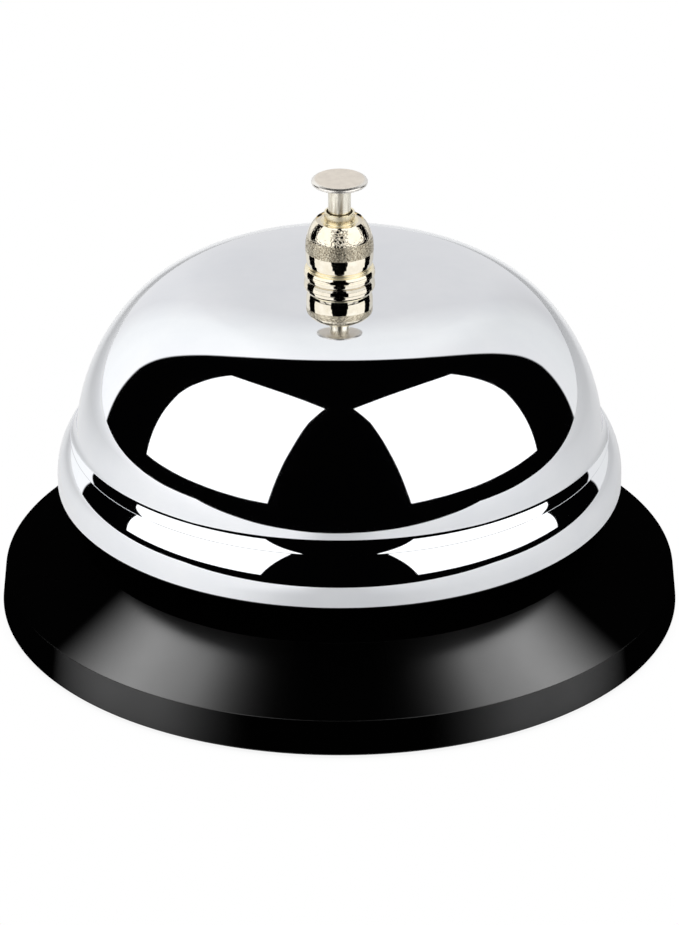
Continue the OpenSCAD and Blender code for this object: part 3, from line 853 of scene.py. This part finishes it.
spring_bm = bmesh.new()
rings = []
for i in range(turns * COIL_STEPS + 1):
    t = i / COIL_STEPS
    a = 2 * math.pi * t
    z = coil_z(t)
    climb = (coil_z(min(turns, t + 0.01)) - coil_z(max(0, t - 0.01))) / 0.02
    around = COIL_R * 2 * math.pi
    along = Vector((-math.sin(a) * around, math.cos(a) * around, climb)).normalized()
    outward = Vector((math.cos(a), math.sin(a), 0))
    up = along.cross(outward) * -1
    wire = WIRE_R * (END_TAPER if i in (0, turns * COIL_STEPS) else 1)
    ring = []
    for j in range(WIRE_SIDES):
        b = 2 * math.pi * j / WIRE_SIDES
        p = Vector((COIL_R * outward.x, COIL_R * outward.y, z))
        p = p + outward * (wire * math.cos(b)) + up * (wire * math.sin(b))
        p.z = max(DECK_Z + 0.02, min(SPOOL_Z - 0.02, p.z))
        ring.append(spring_bm.verts.new((p.x * MM, p.y * MM, p.z * MM + RIM_Z)))
    rings.append(ring)
for p, q in zip(rings, rings[1:]):
    for j in range(WIRE_SIDES):
        after = (j + 1) % WIRE_SIDES
        spring_bm.faces.new((p[j], q[j], q[after], p[after]))
spring_bm.faces.new(rings[0])
spring_bm.faces.new(rings[-1][::-1])
spring = place(finish_mesh(spring_bm, "spring", [MAT["spring_wire"]], sharp=50),
               "return_spring")
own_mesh(spring)

# ------------------------------------------------------------------ CAD parts kept as they are
for node, slot in (("bridge", "zinc_steel"), ("bridge_rivets", "rivet_steel"),
                   ("spool_clip", "spring_steel"), ("striker_lever", "lever_steel"),
                   ("hammer", "turned_brass"), ("pivot_pin", "turned_steel"),
                   ("pivot_clip", "spring_steel")):
    slots = NODES[node].data.materials
    slots.clear()
    slots.append(MAT[slot])

# ------------------------------------------------------------------ desk, in metres
DESK_FRONT, DESK_BACK, DESK_ROWS = -0.163, 0.9, 32
DESK_LEFT, DESK_RIGHT, DESK_COLUMNS = -0.28, 0.26, 24


def pale_desk():
    """Matt and pale, with a glow by place; the camera sees it burnt out to white."""
    m = Surface("pale_desk")
    cloud = m.noise(scale=0.02, rough=0.5)
    m.set("Base Color", m.mix(cloud, (0.86, 0.865, 0.875), (0.90, 0.90, 0.905)))
    m.set("Roughness", 0.75)
    m.set("Specular IOR Level", 0.2)
    # A faint shadow where something stands on it
    contact = m.node("AmbientOcclusion", samples=8)
    contact.inputs["Distance"].default_value = 0.003
    seen = m.emission(m.remap(contact.outputs["AO"], span=(0.2, 0.7), to=(0.9, 1.0)))
    # The glow rises to the left and right of the bell, less so towards the back
    at = m.xyz(m.position)
    left = m.remap(at["X"], span=(-0.008, -0.045), to=(0.0, 0.33), smooth=True)
    right = m.remap(at["X"], span=(0.008, 0.045), to=(0.0, 0.14), smooth=True)
    sides = m.multiply(m.add(left, right),
                       m.remap(at["Y"], span=(0.0, 0.12), to=(1.0, 0.1), smooth=True))
    # Far off it meets the backdrop without an edge
    for axis, span, tone in (("X", (-0.05, -0.30), 0.44), ("X", (0.05, 0.30), 0.15),
                             ("Y", (0.12, 0.70), 0.22)):
        far = m.remap(at[axis], span=span, to=(0.0, tone), smooth=True)
        sides = m.math("MAXIMUM", sides, far)
    rear = m.multiply(m.remap(at["Y"], span=(0.03, 0.15), to=(0.0, 0.35), smooth=True),
                      m.remap(m.math("ABSOLUTE", at["X"]), span=(0.04, 0.10), to=(1.0, 0.0),
                              smooth=True))
    unseen = m.add_shaders(m.bsdf.outputs[0], m.emission(m.add(sides, rear)))
    swap = m.node("MixShader")
    m.put(swap.inputs[0], m.node("LightPath").outputs["Is Camera Ray"])
    m.put(swap.inputs[1], unseen)
    m.put(swap.inputs[2], seen)
    m.put(m.output, swap.outputs[0])
    return m.material


desk_bm = bmesh.new()
grid = [[desk_bm.verts.new((DESK_LEFT + (DESK_RIGHT - DESK_LEFT) * i / DESK_COLUMNS,
                            DESK_FRONT + (DESK_BACK - DESK_FRONT) * j / DESK_ROWS, 0))
         for i in range(DESK_COLUMNS + 1)] for j in range(DESK_ROWS + 1)]
for near, far in zip(grid, grid[1:]):
    for i in range(DESK_COLUMNS):
        desk_bm.faces.new((near[i], near[i + 1], far[i + 1], far[i]))
finish_mesh(desk_bm, "desk", [pale_desk()])

# ------------------------------------------------------------------ lights, in metres
SOFTBOX_SCALE, SOFTBOX_STRENGTH, SOFTBOX_WASH = 0.75, 1.5, 1.5  # wash: strength on matt surfaces
LAMP_DISTANCE, LAMP_SPREAD, LAMP_STRENGTH = 1.5, 26, 7.8  # spread: half-angle in degrees
# Name, the point the directions start from, and the corners as directions:
# back top, front top, front foot, back foot
SOFTBOXES = (
    ("softbox_left", (-0.014, -0.024, 0.034),
     [(-0.506, 0.143, 0.851), (-0.067, -0.383, 0.864), (-0.281, -0.502, 0.026),
      (-0.719, 0.022, 0.014)]),
    ("softbox_right", (0.014, -0.024, 0.034),
     [(0.524, 0.164, 0.851), (0.067, -0.383, 0.864), (0.281, -0.502, 0.026),
      (0.755, 0.065, 0.013)]),
)


def softbox(name, origin, corners):
    """A panel lit on the side that faces the origin."""
    bm = bmesh.new()
    origin = Vector(origin)
    face = bm.faces.new([bm.verts.new(origin + Vector(c) * SOFTBOX_SCALE) for c in corners])
    face.normal_update()
    if face.normal.dot(origin - face.calc_center_median()) < 0:
        face.normal_flip()
    panel = new_object(bm, name)
    m = Material(name)
    strength = m.math("MULTIPLY_ADD", m.node("LightPath").outputs["Is Diffuse Ray"],
                      SOFTBOX_WASH - SOFTBOX_STRENGTH, SOFTBOX_STRENGTH)
    front = m.math("MULTIPLY_ADD", m.node("NewGeometry").outputs["Backfacing"], -1.0, 1.0)
    m.put(m.output, m.emission(m.multiply(front, strength)))
    panel.data.materials.append(m.material)
    panel.visible_camera = False


def round_lamp(name, toward, only):
    """A round lamp with a soft edge that lights one collection only."""
    radius = math.tan(math.radians(LAMP_SPREAD)) * LAMP_DISTANCE
    bm = bmesh.new()
    bmesh.ops.create_circle(bm, cap_ends=True, segments=48, radius=radius)
    direction = Vector(toward).normalized()
    turn = (-direction).to_track_quat("Z", "Y").to_matrix().to_4x4()
    lamp = new_object(bm, name)
    lamp.matrix_world = Matrix.Translation(direction * LAMP_DISTANCE) @ turn
    m = Material(name)
    size = m.node("VectorMath", operation="LENGTH")
    m.put(size.inputs[0], m.node("TexCoord").outputs["Object"])
    glow = m.remap(size.outputs["Value"], span=(0.0, radius), to=(LAMP_STRENGTH, 0.0),
                   smooth=True)
    clear = m.node("BsdfTransparent").outputs[0]
    m.put(m.output, m.add_shaders(m.emission(glow), clear))
    lamp.data.materials.append(m.material)
    m.material.cycles.emission_sampling = "FRONT_BACK"
    lamp.visible_camera = False
    lamp.light_linking.receiver_collection = only
    lamp.light_linking.blocker_collection = only


for name, origin, corners in SOFTBOXES:
    softbox(name, origin, corners)
enamel_only = bpy.data.collections.new("enamel_only")
enamel_only.objects.link(base)
for side, side_name in ((-1, "left"), (1, "right")):
    round_lamp("lamp_" + side_name, (side * 0.464, 0.323, 0.825), enamel_only)


# ------------------------------------------------------------------ world
def studio_world():
    """A dark room in front and overhead, open to a pale backdrop behind; white to the camera."""
    world = bpy.data.worlds.new("studio")
    bpy.context.scene.world = world
    world.use_nodes = True
    w = Nodes(world.node_tree, "OutputWorld")
    toward = w.xyz(w.node("TexCoord").outputs["Generated"])
    x, z = toward["X"], toward["Z"]
    # The mouth of the room is a rounded outline, a sum of cubes of the side and up directions
    power, mouth = 3.0, 0.42
    widening = w.remap(x, span=(-0.4, 0.4), to=(1.08 / 0.7, 1.16 / 0.7))
    wall = w.math("POWER", w.multiply(w.math("ABSOLUTE", x), widening), power)
    roof = w.math("POWER", w.math("MAXIMUM", z, 0.0), power)
    edge = w.multiply(w.math("POWER", w.add(wall, roof), 1 / power), mouth)
    ahead = w.add(w.multiply(toward["Y"], -1.0), edge)
    dark = w.remap(ahead, span=(-0.012, 0.012), smooth=True)
    backdrop = w.node("ValToRGB")
    w.put(backdrop.inputs[0], w.remap(w.multiply(ahead, -1.0), span=(0.0, 0.62)))
    stops = backdrop.color_ramp.elements
    stops[0].color = (1.08, 1.08, 1.09, 1)
    stops[1].color = (0.82, 0.82, 0.835, 1)
    for position, tone in ((0.42, 1.05), (0.70, 1.0)):
        stops.new(position).color = (tone, tone * 1.01, tone * 1.015, 1)
    # A little brighter to the left of the bell than to the right
    across = w.add(w.remap(x, span=(-0.05, -0.30), to=(1.0, 1.10), smooth=True),
                   w.remap(x, span=(0.20, 0.50), to=(0.0, -0.13), smooth=True))
    lit = w.node("VectorMath", operation="SCALE")
    w.put(lit.inputs[0], backdrop.outputs[0])
    w.put(lit.inputs["Scale"], across)
    room = w.mix(dark, lit.outputs[0], (0.0006, 0.0006, 0.0007))
    seen = w.node("LightPath").outputs["Is Camera Ray"]
    background = w.node("Background")
    w.put(background.inputs["Color"], w.mix(seen, room, (1.0, 1.0, 1.0)))
    w.put(w.output, background.outputs[0])


studio_world()

# ------------------------------------------------------------------ camera
camera_data = bpy.data.cameras.new("camera")
camera = bpy.data.objects.new("camera", camera_data)
bpy.context.scene.collection.objects.link(camera)
camera_data.lens = 249.93
camera_data.sensor_width = 36
camera_data.clip_start = 0.01
camera_data.clip_end = 20
camera.location = (0, -0.7200, 0.3779 + RIM_Z)
aim = Vector((0, 0, 0.01839 + RIM_Z))
camera.rotation_mode = "QUATERNION"
camera.rotation_quaternion = (aim - camera.location).to_track_quat("-Z", "Y")
bpy.context.scene.camera = camera
bpy.context.scene.view_settings.view_transform = "Standard"
bpy.context.scene.view_settings.look = "None"
